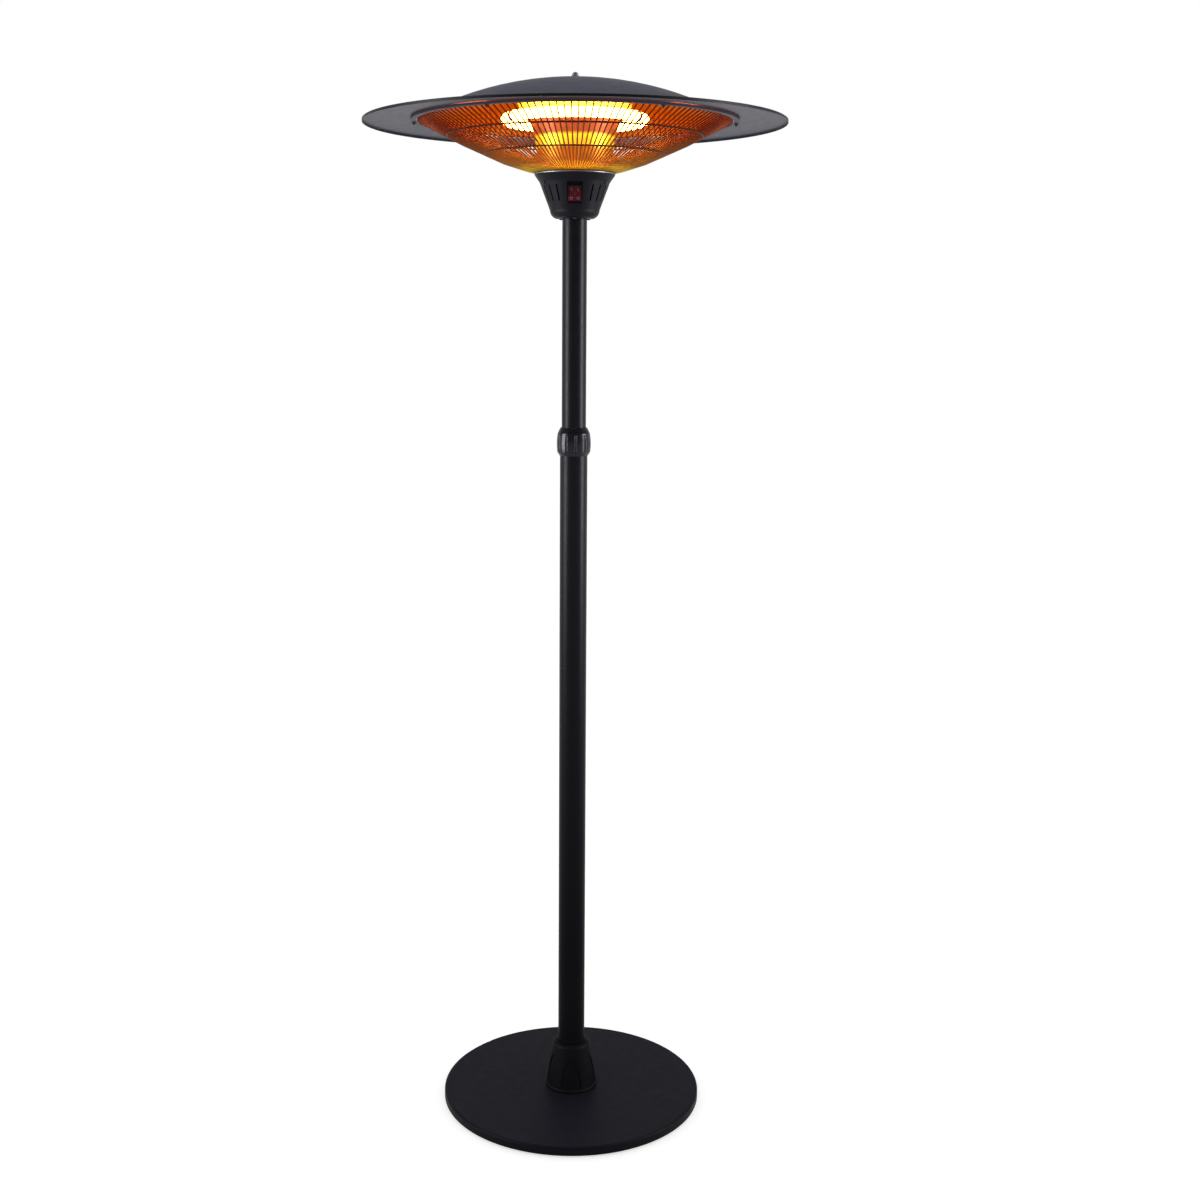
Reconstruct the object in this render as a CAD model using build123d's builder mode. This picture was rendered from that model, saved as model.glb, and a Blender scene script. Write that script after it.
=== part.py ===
from build123d import *
from math import cos, radians, sin, sqrt
import os

os.makedirs("parts", exist_ok=True)

# Infrared patio heater tower.  Millimetres, +Z up, origin on the floor under the pole,
# and the switches face -Y.  Every height below is measured from the floor.

# ------------------------------------------------------------------ driving sizes
base_radius = 267.0
base_top = 21.0
base_sheet = 1.5
pad_height = 3.0
pad_radius = 16.0
pad_circle = 222.0
plate_top = 5.0

boot_shoulder = 116.0
boot_top = 118.5

lower_radius = 27.5
lower_bore = 26.0
lower_top = 1361.0

upper_radius = 24.3
upper_bore = 22.8
upper_foot = 1184.0
upper_top = 1845.0

collar_foot = 1354.0
collar_top = 1410.0
collar_flutes = 11
collar_flute_start = 7.0

housing_foot = 1817.5
housing_top = 1901.5
housing_wall = 2.5
band_foot = 1887.0
cone_foot = 1833.0

switch_height = 1860.5
switch_face = 52.0
rocker_tilt = 8.0

gland_height = 1848.0
cord_bore = 4.5

column_foot_radius = 70.5
column_top_radius = 116.2

lamp_circle = 134.0
lamp_height = 2004.5
lamp_radius = 9.5
lamp_gap = 9.0
lead_offset = 12.4
clip_angles = [60, 120, 210, 330]

rim_height = 2005.0
rim_radius = 318.0
stud_circle = 312.0
shade_radius = 410.0
shade_sheet = 1.2
lip_height = 1995.5
dome_radius = 640.0
dome_top = 2080.5

dish_radius = 298.5
dish_rise = 54.0

guard_sectors = 12
wires_per_sector = 12
wire_radius = 1.5
ring_wire_radius = 1.7
guard_foot_radius = 76.0
guard_top_radius = 305.5

# ------------------------------------------------------------------ fits
turning_gap = 0.06
sliding_gap = 0.08
bolt_gap = 0.3
thread_gap = 0.05

# ------------------------------------------------------------------ standard fasteners
m8_radius = 4.0
m8_flats = 13.0
m8_head = 5.3
m6_radius = 3.0
m4_radius = 2.0
m4_flats = 7.0
m4_nut = 3.2
m8_nut = 6.5
bolt_circle = 37.0

# ------------------------------------------------------------------ alignments
upright = (Align.CENTER, Align.CENTER, Align.MIN)
hanging = (Align.CENTER, Align.CENTER, Align.MAX)
facing_front = (Align.CENTER, Align.MAX, Align.CENTER)
facing_back = (Align.CENTER, Align.MIN, Align.CENTER)


def outline(*points, plane=Plane.XZ):
    """A closed face through (radius, height) points."""
    with BuildSketch(plane) as face:
        with BuildLine():
            Polyline(*points, close=True)
        make_face()
    return face.sketch


def tube(outer, inner, foot, top):
    """An upright tube on the Z axis."""
    with BuildPart() as piece:
        revolve(outline((inner, foot), (outer, foot), (outer, top), (inner, top)))
    return piece.part


def hexagon(flats, height, bore=0.0):
    """A hexagon prism standing on the XY plane, with a hole if a bore is given."""
    with BuildPart() as piece:
        with BuildSketch():
            RegularPolygon(flats / 2, 6, major_radius=False)
            if bore:
                Circle(bore, mode=Mode.SUBTRACT)
        extrude(amount=height)
    return piece.part


def hex_bolt(radius, flats, head, length):
    """A hexagon-head bolt: head above the XY plane, shank below it."""
    with BuildPart() as piece:
        add(hexagon(flats, head))
        with BuildSketch():
            Circle(radius)
        extrude(amount=-length)
    return piece.part


def pan_screw(radius, head_radius, head, length):
    """A pan-head screw with a hexagon socket: head above the XY plane, shank below it."""
    with BuildPart() as piece:
        with BuildSketch():
            Circle(head_radius)
        extrude(amount=head)
        fillet(piece.edges().group_by(Axis.Z)[-1], head * 0.45)
        with BuildSketch(Plane.XY.offset(head)):
            RegularPolygon(radius * 0.6, 6, major_radius=False)
        extrude(amount=-head * 0.6, mode=Mode.SUBTRACT)
        with BuildSketch():
            Circle(radius)
        extrude(amount=-length)
    return piece.part


def bent_rod(radius, bend, *points):
    """A round rod or wire along straight runs joined by arcs."""
    with BuildPart() as piece:
        with BuildLine() as route:
            FilletPolyline(*points, radius=bend)
        with BuildSketch(Plane(origin=route.line @ 0, z_dir=route.line % 0)):
            Circle(radius)
        sweep(path=route.line)
    return piece.part


def ring_arc(radius, section, height, start, sweep_angle, bore=0.0):
    """Part of a round-section ring about the Z axis, from the start angle onwards."""
    with BuildPart() as piece:
        with BuildSketch(Plane.XZ.rotated((0, 0, start))):
            with Locations((radius, height)):
                Circle(section)
                if bore:
                    Circle(bore, mode=Mode.SUBTRACT)
        revolve(axis=Axis.Z, revolution_arc=sweep_angle)
    return piece.part


# ================================================================== base
# A pressed cover over a cast ballast disc, closed underneath by a plate on rubber pads.
cover_foot = pad_height + 0.6
cover_bend = 5.0
underplate_radius = base_radius - base_sheet - 1.5
pad_stud = 4.0
ballast_radius = base_radius - 7.5
ballast_top = base_top - base_sheet - 0.2
screw_circle = 160.0
anchor_depth = 11.0
screw_depth = 9.0

with BuildPart() as base_cover:
    revolve(
        outline(
            (0, base_top),
            (base_radius, base_top),
            (base_radius, cover_foot),
            (base_radius - base_sheet, cover_foot),
            (base_radius - base_sheet, base_top - base_sheet),
            (0, base_top - base_sheet),
        )
    )
    fillet(base_cover.edges().group_by(Axis.Z)[-1], cover_bend)
    fillet(base_cover.edges().group_by(Axis.Z)[-3], cover_bend - base_sheet)
    with PolarLocations(bolt_circle, 4, start_angle=45):
        Hole(m8_radius + bolt_gap)
base_cover.part.label = "base_cover"
export_step(base_cover.part, "parts/base_cover.step")

with BuildPart() as base_ballast:
    with Locations((0, 0, plate_top)):
        Cylinder(ballast_radius, ballast_top - plate_top, align=upright)
    chamfer(base_ballast.edges().group_by(Axis.Z)[-1], 2.5)
    with Locations((0, 0, ballast_top)):
        with PolarLocations(bolt_circle, 4, start_angle=45):
            Hole(m8_radius + thread_gap, depth=anchor_depth)
    with Locations((0, 0, plate_top)):
        with PolarLocations(screw_circle, 3, start_angle=90):
            Cylinder(m4_radius + thread_gap, screw_depth, align=upright, mode=Mode.SUBTRACT)
base_ballast.part.label = "base_ballast"
export_step(base_ballast.part, "parts/base_ballast.step")

with BuildPart() as base_underplate:
    revolve(
        outline(
            (0, pad_height),
            (underplate_radius, pad_height),
            (underplate_radius, plate_top),
            (0, plate_top),
        )
    )
    with PolarLocations(pad_circle, 6):
        Hole(pad_stud + thread_gap)
    with PolarLocations(screw_circle, 3, start_angle=90):
        Hole(m4_radius + bolt_gap)
base_underplate.part.label = "base_underplate"
export_step(base_underplate.part, "parts/base_underplate.step")

with BuildPart() as underplate_screws:
    with PolarLocations(screw_circle, 3, start_angle=90):
        with Locations(Location((0, 0, pad_height), (180, 0, 0))):
            add(pan_screw(m4_radius, head_radius=4.0, head=1.8, length=10.0))
underplate_screws.part.label = "underplate_screws"
export_step(underplate_screws.part, "parts/underplate_screws.step")

with BuildPart() as foot_pad:
    Cylinder(pad_radius, pad_height, align=upright)
    fillet(foot_pad.edges().group_by(Axis.Z)[0], 0.8)
    Cylinder(pad_stud, plate_top, align=upright)

with BuildPart() as base_pads:
    with PolarLocations(pad_circle, 6):
        add(foot_pad.part)
base_pads.part.label = "base_pads"
export_step(base_pads.part, "parts/base_pads.step")

# ================================================================== foot of the pole
# A flanged spigot bolted through the cover into the ballast, under a moulded boot.
flange_radius = 45.0
flange_top = base_top + 5.0
spigot_radius = lower_bore - 0.15
spigot_bore = 22.8
spigot_top = 106.0
clamp_height = 60.0
across = 80.0

with BuildPart() as foot_socket:
    revolve(
        outline(
            (spigot_bore, base_top),
            (flange_radius, base_top),
            (flange_radius, flange_top),
            (spigot_radius, flange_top),
            (spigot_radius, spigot_top),
            (spigot_bore, spigot_top),
        )
    )
    chamfer(foot_socket.edges().group_by(Axis.Z)[-1], 0.8)
    with PolarLocations(bolt_circle, 4, start_angle=45):
        Hole(m8_radius + bolt_gap)
    with Locations(Location((0, 0, clamp_height), (0, 90, 0))):
        Cylinder(m6_radius + thread_gap, across, mode=Mode.SUBTRACT)
foot_socket.part.label = "foot_socket"
export_step(foot_socket.part, "parts/foot_socket.step")

with BuildPart() as socket_bolts:
    with Locations((0, 0, flange_top)):
        with PolarLocations(bolt_circle, 4, start_angle=45):
            add(hex_bolt(m8_radius, m8_flats, m8_head, length=17.0))
socket_bolts.part.label = "socket_bolts"
export_step(socket_bolts.part, "parts/socket_bolts.step")

with BuildPart() as lower_pole:
    add(tube(lower_radius, lower_bore, flange_top, lower_top))
    with Locations(Location((0, 0, clamp_height), (0, 90, 0))):
        Cylinder(m6_radius + 0.1, across, mode=Mode.SUBTRACT)
lower_pole.part.label = "lower_pole"
export_step(lower_pole.part, "parts/lower_pole.step")

with BuildPart() as pole_screws:
    with Locations((0, 0, clamp_height)):
        with PolarLocations(lower_radius, 2):
            with Locations(Location((0, 0, 0), (0, 90, 0))):
                add(pan_screw(m6_radius, head_radius=5.2, head=3.0, length=4.6))
pole_screws.part.label = "pole_screws"
export_step(pole_screws.part, "parts/pole_screws.step")

# The boot: a thin-lipped cone with a round shoulder and six broad arched hollows.
boot_foot = base_top + 0.1
boot_lip = 54.3
boot_foot_radius = 51.4
boot_shoulder_radius = 38.4
boot_shoulder_bend = 8.0
boot_mouth = 30.0
boot_neck = lower_radius + 0.3
boot_wall = 3.6
boot_cone_foot = boot_foot + 7.0
hollow_depth = 1.7
hollow_count = 6
cone_slope = (boot_foot_radius - boot_shoulder_radius) / (boot_shoulder - boot_cone_foot)


def boot_radius(height):
    """Outer radius of the boot's cone at a height."""
    return boot_shoulder_radius + (boot_shoulder - height) * cone_slope


with BuildPart() as boot_hollow:
    with BuildSketch(Plane.XZ):
        with BuildLine():
            foot_left = (-20.5, boot_foot + 8.0)
            foot_right = (20.5, boot_foot + 8.0)
            Line(foot_left, foot_right)
            Spline(foot_right, (14.5, 69.0), (0, 94.0), (-14.5, 69.0), foot_left)
        make_face()
    extrude(amount=80)
    revolve(
        outline(
            (0, boot_foot),
            (boot_radius(boot_foot) - hollow_depth, boot_foot),
            (boot_radius(boot_shoulder + 10) - hollow_depth, boot_shoulder + 10),
            (0, boot_shoulder + 10),
        ),
        mode=Mode.SUBTRACT,
    )

with BuildPart() as foot_boot:
    revolve(
        outline(
            (boot_lip - boot_wall, boot_foot),
            (boot_lip, boot_foot),
            (boot_lip, boot_foot + 4.5),
            (boot_lip - 1.4, boot_foot + 6.0),
            (boot_foot_radius, boot_cone_foot),
            (boot_shoulder_radius, boot_shoulder),
            (boot_mouth, boot_top),
            (boot_neck, boot_top),
            (boot_neck, boot_top - boot_wall),
            (boot_shoulder_radius - boot_wall, boot_shoulder - boot_wall - 1.0),
            (boot_foot_radius - boot_wall, boot_cone_foot),
        )
    )
    fillet(foot_boot.edges().filter_by(GeomType.CIRCLE).group_by(Axis.Z)[-2], boot_shoulder_bend)
    with PolarLocations(0, hollow_count):
        add(boot_hollow.part, mode=Mode.SUBTRACT)
foot_boot.part.label = "foot_boot"
export_step(foot_boot.part, "parts/foot_boot.step")

# ================================================================== twist lock
# A split sleeve in the lower tube's mouth grips the upper tube when the collar is turned.
sleeve_bore = upper_radius + turning_gap
sleeve_foot = lower_top - 43.0
sleeve_lip = lower_top + 3.0
finger_top = 1399.0
finger_foot = sleeve_lip + 6.0
finger_split = 2.0

with BuildPart() as clamp_sleeve:
    revolve(
        outline(
            (sleeve_bore, sleeve_foot),
            (lower_bore - 0.05, sleeve_foot),
            (lower_bore - 0.05, lower_top),
            (28.9, lower_top),
            (28.9, sleeve_lip),
            (28.0, sleeve_lip),
            (28.0, sleeve_lip + 5.0),
            (26.2, finger_top),
            (sleeve_bore, finger_top),
        )
    )
    with Locations((0, 0, finger_foot)):
        Box(across, finger_split, finger_top - finger_foot, align=upright, mode=Mode.SUBTRACT)
        Box(finger_split, across, finger_top - finger_foot, align=upright, mode=Mode.SUBTRACT)
clamp_sleeve.part.label = "clamp_sleeve"
export_step(clamp_sleeve.part, "parts/clamp_sleeve.step")

flute_radius = 3.3
flute_circle = 35.0
flute_foot = 1365.0
flute_top = 1395.0
flute_shoulder = flute_radius * cos(radians(45))
collar_bore = lower_radius + 0.35
collar_mouth = upper_radius + 0.4

with BuildPart() as collar_flute:
    with BuildSketch(Plane.XZ):
        with BuildLine():
            ThreePointArc(
                (0, flute_foot - flute_radius),
                (flute_shoulder, flute_foot - flute_shoulder),
                (flute_radius, flute_foot),
            )
            Line((flute_radius, flute_foot), (flute_radius, flute_top))
            ThreePointArc(
                (flute_radius, flute_top),
                (flute_shoulder, flute_top + flute_shoulder),
                (0, flute_top + flute_radius),
            )
            Line((0, flute_top + flute_radius), (0, flute_foot - flute_radius))
        make_face()
    revolve(axis=Axis.Z)

with BuildPart() as twist_collar:
    with BuildSketch(Plane.XZ):
        with BuildLine():
            Line((collar_bore, collar_foot), (28.8, collar_foot))
            Line((28.8, collar_foot), (33.0, collar_foot + 7.0))
            ThreePointArc((33.0, collar_foot + 7.0), (34.1, 1377.0), (32.2, 1399.0))
            Line((32.2, 1399.0), (27.2, collar_top - 0.8))
            Line((27.2, collar_top - 0.8), (26.4, collar_top))
            Line((26.4, collar_top), (collar_mouth, collar_top))
            Line((collar_mouth, collar_top), (collar_mouth, finger_top + 1.5))
            Line((collar_mouth, finger_top + 1.5), (26.7, finger_top + 1.5))
            Line((26.7, finger_top + 1.5), (28.45, sleeve_lip + 4.5))
            Line((28.45, sleeve_lip + 4.5), (28.45, sleeve_lip + 0.7))
            Line((28.45, sleeve_lip + 0.7), (29.3, sleeve_lip + 0.7))
            Line((29.3, sleeve_lip + 0.7), (29.3, lower_top - 0.4))
            Line((29.3, lower_top - 0.4), (collar_bore, lower_top - 0.4))
            Line((collar_bore, lower_top - 0.4), (collar_bore, collar_foot))
        make_face()
    revolve(axis=Axis.Z)
    with PolarLocations(flute_circle, collar_flutes, start_angle=collar_flute_start - 90):
        add(collar_flute.part, mode=Mode.SUBTRACT)
twist_collar.part.label = "twist_collar"
export_step(twist_collar.part, "parts/twist_collar.step")

# ================================================================== telescopic upper pole
# The long guide keeps the upper tube straight and meets the sleeve at full height.
guide_foot = upper_foot - 6.0
guide_top = sleeve_foot - 1.0
guide_bore = 20.0

with BuildPart() as pole_guide:
    revolve(
        outline(
            (guide_bore, guide_foot),
            (lower_bore - sliding_gap, guide_foot),
            (lower_bore - sliding_gap, guide_top),
            (upper_radius + turning_gap, guide_top),
            (upper_radius + turning_gap, upper_foot),
            (guide_bore, upper_foot),
        )
    )
pole_guide.part.label = "pole_guide"
export_step(pole_guide.part, "parts/pole_guide.step")

with BuildPart() as upper_pole:
    add(tube(upper_radius, upper_bore, upper_foot, upper_top))
upper_pole.part.label = "upper_pole"
export_step(upper_pole.part, "parts/upper_pole.step")

# ================================================================== head socket
socket_foot = housing_foot + housing_wall
socket_flange_top = socket_foot + 6.0
socket_top = 1853.0
grub_height = 1840.0
grub_length = 6.0
flange_screw_circle = 30.6
barrel_radius = 27.6

with BuildPart() as head_socket:
    revolve(
        outline(
            (upper_radius + 0.05, socket_foot),
            (34.2, socket_foot),
            (34.2, socket_flange_top),
            (barrel_radius, socket_flange_top),
            (barrel_radius, socket_top),
            (upper_radius + 0.05, socket_top),
        )
    )
    with Locations((0, 0, socket_foot)):
        with PolarLocations(flange_screw_circle, 3, start_angle=30):
            Hole(m4_radius + thread_gap)
    with Locations(Location((0, 0, grub_height), (0, 90, 0))):
        Cylinder(m6_radius + thread_gap, across, mode=Mode.SUBTRACT)
head_socket.part.label = "head_socket"
export_step(head_socket.part, "parts/head_socket.step")

with BuildPart() as flange_screws:
    with PolarLocations(flange_screw_circle, 3, start_angle=30):
        with Locations(Location((0, 0, housing_foot), (180, 0, 0))):
            add(pan_screw(m4_radius, head_radius=3.6, head=2.0, length=8.0))
flange_screws.part.label = "flange_screws"
export_step(flange_screws.part, "parts/flange_screws.step")

with BuildPart() as grub_screw:
    with BuildSketch(Plane.YZ.offset(upper_radius)):
        Circle(m6_radius)
    extrude(amount=grub_length)
    with BuildSketch(Plane.YZ.offset(upper_radius + grub_length)):
        RegularPolygon(m6_radius / 2, 6, major_radius=False)
    extrude(amount=-grub_length / 2, mode=Mode.SUBTRACT)

with BuildPart() as socket_grub_screws:
    with Locations((0, 0, grub_height)):
        with PolarLocations(0, 2):
            add(grub_screw.part)
socket_grub_screws.part.label = "socket_grub_screws"
export_step(socket_grub_screws.part, "parts/socket_grub_screws.step")

# ================================================================== control housing
# An inverted cone with vent slots all round, a switch recess in front and a gland behind.
band_radius = 69.2
band_top_radius = 78.2
cone_top_radius = 68.7
cone_foot_radius = 48.5
bowl_radius = 37.2
lid_radius = 72.0
pocket_half_width = 15.0
pocket_foot = 1842.0
pocket_top = 1884.0
pocket_wall = 2.0
vent_length = 31.0
vent_width = 3.4
vent_middle = 1864.0
vent_step = 360 / 22
front_vents = [-90 + side * number * vent_step for side in (-1, 1) for number in (2, 3, 4, 5)]
back_vents = [90 + side * (number + 0.5) * vent_step for side in (-1, 1) for number in (1, 2, 3, 4)]
side_screw_height = 1885.0
boss_back = 47.0
boss_radius = 10.5
gland_seat = 58.5
gland_radius = 6.0
switch_opening = (26.8, 12.0, 33.6)
side_screw_angles = [-152.5, -27.5, 27.5, 152.5]

with BuildPart() as housing_form:
    with BuildSketch(Plane.XZ):
        with BuildLine():
            Line((0, housing_foot), (bowl_radius, housing_foot))
            ThreePointArc(
                (bowl_radius, housing_foot),
                (45.5, 1823.9),
                (cone_foot_radius, cone_foot),
            )
            Line((cone_foot_radius, cone_foot), (cone_top_radius, band_foot - 0.4))
            Line((cone_top_radius, band_foot - 0.4), (band_radius, band_foot))
            Line((band_radius, band_foot), (band_top_radius, housing_top - 1.7))
            Line((band_top_radius, housing_top - 1.7), (band_top_radius, housing_top))
            Line((band_top_radius, housing_top), (0, housing_top))
            Line((0, housing_top), (0, housing_foot))
        make_face()
    revolve(axis=Axis.Z)

with BuildPart() as pocket_shell:
    with Locations((0, -switch_face + pocket_wall, (pocket_foot + pocket_top) / 2)):
        Box(
            2 * (pocket_half_width + pocket_wall),
            60,
            pocket_top - pocket_foot + 2 * pocket_wall,
            align=facing_front,
        )
    add(housing_form.part, mode=Mode.INTERSECT)

with BuildPart() as vent_cutter:
    with BuildSketch(Plane.YZ.offset(40)):
        with Locations((0, vent_middle)):
            SlotOverall(vent_length, vent_width, rotation=90)
    extrude(amount=50)

with BuildPart() as gland_boss:
    with BuildSketch(Plane.XZ.offset(-boss_back)):
        with Locations((0, gland_height)):
            Circle(boss_radius)
    extrude(amount=-(gland_seat - boss_back))

with BuildPart() as housing_shell:
    add(housing_form.part)
    with BuildSketch(Plane.XZ):
        with BuildLine():
            Line((0, socket_foot), (bowl_radius - 1.5, socket_foot))
            ThreePointArc(
                (bowl_radius - 1.5, socket_foot),
                (43.1, 1825.9),
                (45.9, cone_foot + 0.8),
            )
            Line((45.9, cone_foot + 0.8), (68.2, 1891.5))
            Line((68.2, 1891.5), (68.2, 1897.5))
            Line((68.2, 1897.5), (lid_radius + 0.3, 1897.5))
            Line((lid_radius + 0.3, 1897.5), (lid_radius + 0.3, housing_top))
            Line((lid_radius + 0.3, housing_top), (0, housing_top))
            Line((0, housing_top), (0, socket_foot))
        make_face()
    revolve(axis=Axis.Z, mode=Mode.SUBTRACT)
    add(pocket_shell.part)
    add(gland_boss.part)
    with Locations((0, -switch_face, (pocket_foot + pocket_top) / 2)):
        Box(
            2 * pocket_half_width,
            60,
            pocket_top - pocket_foot,
            align=facing_front,
            mode=Mode.SUBTRACT,
        )
    with Locations((0, -switch_face, switch_height)):
        Box(*switch_opening, mode=Mode.SUBTRACT)
    with Locations(*[Rotation(0, 0, angle) for angle in front_vents + back_vents]):
        add(vent_cutter.part, mode=Mode.SUBTRACT)
    with Locations((0, 0, housing_foot)):
        Cylinder(upper_radius + 0.35, 12, mode=Mode.SUBTRACT)
        with PolarLocations(flange_screw_circle, 3, start_angle=30):
            Cylinder(m4_radius + bolt_gap, 12, mode=Mode.SUBTRACT)
    with Locations(Location((0, 55.0, gland_height), (90, 0, 0))):
        Cylinder(gland_radius + 0.2, 30, mode=Mode.SUBTRACT)
    with Locations(*[Rotation(0, 0, angle) for angle in side_screw_angles]):
        with Locations(Location((68.0, 0, side_screw_height), (0, 90, 0))):
            Cylinder(m4_radius + 0.2, 14, mode=Mode.SUBTRACT)
            Cylinder(3.9, 12, align=upright, mode=Mode.SUBTRACT)
housing_shell.part.label = "housing_shell"
export_step(housing_shell.part, "parts/housing_shell.step")

lid_foot = 1898.5
skirt_radius = 63.6
skirt_foot = 1880.5
trim_radius = 79.0

with BuildPart() as housing_seal:
    add(tube(outer=lid_radius, inner=68.6, foot=lid_foot - 1.0, top=lid_foot))
housing_seal.part.label = "housing_seal"
export_step(housing_seal.part, "parts/housing_seal.step")

with BuildPart() as housing_lid:
    revolve(
        outline(
            (0, lid_foot),
            (skirt_radius - 2.5, lid_foot),
            (skirt_radius - 2.5, skirt_foot),
            (skirt_radius, skirt_foot),
            (skirt_radius, lid_foot),
            (lid_radius, lid_foot),
            (lid_radius, housing_top),
            (0, housing_top),
        )
    )
    with Locations((0, -switch_face, skirt_foot)):
        Box(2 * (pocket_half_width + pocket_wall) + 2, 30, 12, mode=Mode.SUBTRACT)
    with Locations((0, 0, lid_foot)):
        Hole(m8_radius + bolt_gap)
    with Locations((lead_offset, 50.0, lid_foot), (-lead_offset, 50.0, lid_foot)):
        Hole(3.4)
    with Locations(*[Rotation(0, 0, angle) for angle in side_screw_angles]):
        with Locations(Location((skirt_radius, 0, side_screw_height), (0, 90, 0))):
            Cylinder(m4_radius + thread_gap, 10, mode=Mode.SUBTRACT)
housing_lid.part.label = "housing_lid"
export_step(housing_lid.part, "parts/housing_lid.step")

with BuildPart() as housing_screws:
    with Locations(*[Rotation(0, 0, angle) for angle in side_screw_angles]):
        with Locations(Location((68.0, 0, side_screw_height), (0, 90, 0))):
            add(pan_screw(m4_radius, head_radius=3.5, head=2.0, length=7.5))
housing_screws.part.label = "housing_screws"
export_step(housing_screws.part, "parts/housing_screws.step")

with BuildPart() as housing_trim:
    add(tube(trim_radius, column_foot_radius + 0.5, housing_top, housing_top + 1.8))
    fillet(housing_trim.edges().group_by(Axis.Z)[-1].sort_by(SortBy.RADIUS)[-1], 0.8)
housing_trim.part.label = "housing_trim"
export_step(housing_trim.part, "parts/housing_trim.step")

# ================================================================== switches
# Two rockers side by side on one pin, in a body that snaps into the recess.  Both are
# switched on, with their upper ends pressed in.
rocker_width = 12.3
rocker_half = 14.6
rocker_edge = 0.9
pin_depth = 2.0
pin_radius = 1.0
pin_length = 26.2
bezel_front = switch_face + 2.0
cavity_floor = 40.6
body_back = 33.0
blade_heights = [switch_height + 8.5, switch_height + 14.0]
blade_pitch = 12.4

with BuildPart() as switch_body:
    with Locations((0, -switch_face, switch_height)):
        Box(28.8, 2.0, 36.4, align=facing_front)
        Box(26.4, switch_face - body_back, 33.2, align=facing_back)
    with Locations((0, -bezel_front, switch_height)):
        Box(
            25.2,
            bezel_front - cavity_floor,
            31.4,
            align=facing_back,
            mode=Mode.SUBTRACT,
        )
    with Locations(Location((0, -switch_face + pin_depth, switch_height), (0, 90, 0))):
        Cylinder(pin_radius + thread_gap, 40, mode=Mode.SUBTRACT)
switch_body.part.label = "switch_body"
export_step(switch_body.part, "parts/switch_body.step")

with BuildPart() as switch_terminals:
    with Locations(*[(0, -body_back, height) for height in blade_heights]):
        with GridLocations(blade_pitch, 0, 2, 1):
            Box(4.8, 8.0, 0.8, align=facing_back)
switch_terminals.part.label = "switch_terminals"
export_step(switch_terminals.part, "parts/switch_terminals.step")

with BuildPart() as rocker_pin:
    with BuildSketch(Plane.YZ.offset(-pin_length / 2)):
        with Locations((-switch_face + pin_depth, switch_height)):
            Circle(pin_radius)
    extrude(amount=pin_length)
rocker_pin.part.label = "rocker_pin"
export_step(rocker_pin.part, "parts/rocker_pin.step")

rocker_plane = Plane(
    origin=(0.15, -switch_face + pin_depth, switch_height),
    x_dir=(0, cos(radians(rocker_tilt)), -sin(radians(rocker_tilt))),
    z_dir=(1, 0, 0),
)

with BuildPart() as rocker_right:
    with BuildSketch(rocker_plane):
        with BuildLine():
            ThreePointArc((-5.6, -rocker_half), (-4.3, 0), (-5.6, rocker_half))
            Line((-5.6, rocker_half), (-1.5, rocker_half - 0.6))
            Line((-1.5, rocker_half - 0.6), (4.0, 4.5))
            Line((4.0, 4.5), (4.0, -4.5))
            Line((4.0, -4.5), (-1.5, -rocker_half + 0.6))
            Line((-1.5, -rocker_half + 0.6), (-5.6, -rocker_half))
        make_face()
        Circle(pin_radius + turning_gap, mode=Mode.SUBTRACT)
    extrude(amount=rocker_width)
    fillet(rocker_right.edges().filter_by(GeomType.CIRCLE).sort_by(SortBy.RADIUS)[-2:], rocker_edge)
rocker_right.part.label = "rocker_right"
export_step(rocker_right.part, "parts/rocker_right.step")

with BuildPart() as rocker_left:
    add(mirror(rocker_right.part, about=Plane.YZ, mode=Mode.PRIVATE))
rocker_left.part.label = "rocker_left"
export_step(rocker_left.part, "parts/rocker_left.step")

# ================================================================== wiring in the housing
block_top = lid_foot
block_middle = 50.0
block_depth = 13.0
screw_row = block_top - 8.0

with BuildPart() as terminal_block:
    with Locations((0, block_middle, block_top)):
        Box(42, block_depth, block_depth, align=hanging)
    fillet(terminal_block.edges().filter_by(Axis.Z), 1.0)
    with Locations((lead_offset, block_middle, block_top), (-lead_offset, block_middle, block_top)):
        Hole(2.0, depth=6.0)
    with Locations((0, block_middle - block_depth / 2, screw_row)):
        with GridLocations(blade_pitch, 0, 3, 1):
            Box(5.0, 3.0, 5.0, mode=Mode.SUBTRACT)
terminal_block.part.label = "terminal_block"
export_step(terminal_block.part, "parts/terminal_block.step")

with BuildPart() as switch_lead:
    add(
        bent_rod(
            1.0,
            6.0,
            (blade_pitch / 2, -24.8, blade_heights[1]),
            (blade_pitch / 2, 10.0, blade_heights[1]),
            (blade_pitch, 22.0, screw_row),
            (blade_pitch, block_middle - 5.2, screw_row),
        )
    )

with BuildPart() as switch_leads:
    add(switch_lead.part)
    mirror(switch_lead.part, about=Plane.YZ)
switch_leads.part.label = "switch_leads"
export_step(switch_leads.part, "parts/switch_leads.step")

tilt_switch_height = 18.0

with BuildPart() as tilt_switch:
    with Locations((40, 0, block_top)):
        Box(20, 16, tilt_switch_height, align=hanging)
    fillet(tilt_switch.edges().filter_by(Axis.Z), 2.0)
    with Locations((40, 0, block_top - tilt_switch_height)):
        Cylinder(5.0, 3.0, align=hanging)
tilt_switch.part.label = "tilt_switch"
export_step(tilt_switch.part, "parts/tilt_switch.step")

# The gland stands on the boss at the back, with its own nut inside and a cap outside.
gland_flange = 62.5
gland_end = 72.5
gland_inner = 41.0
gland_nut_thickness = 4.5
gland_cap_radius = 8.4

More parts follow.
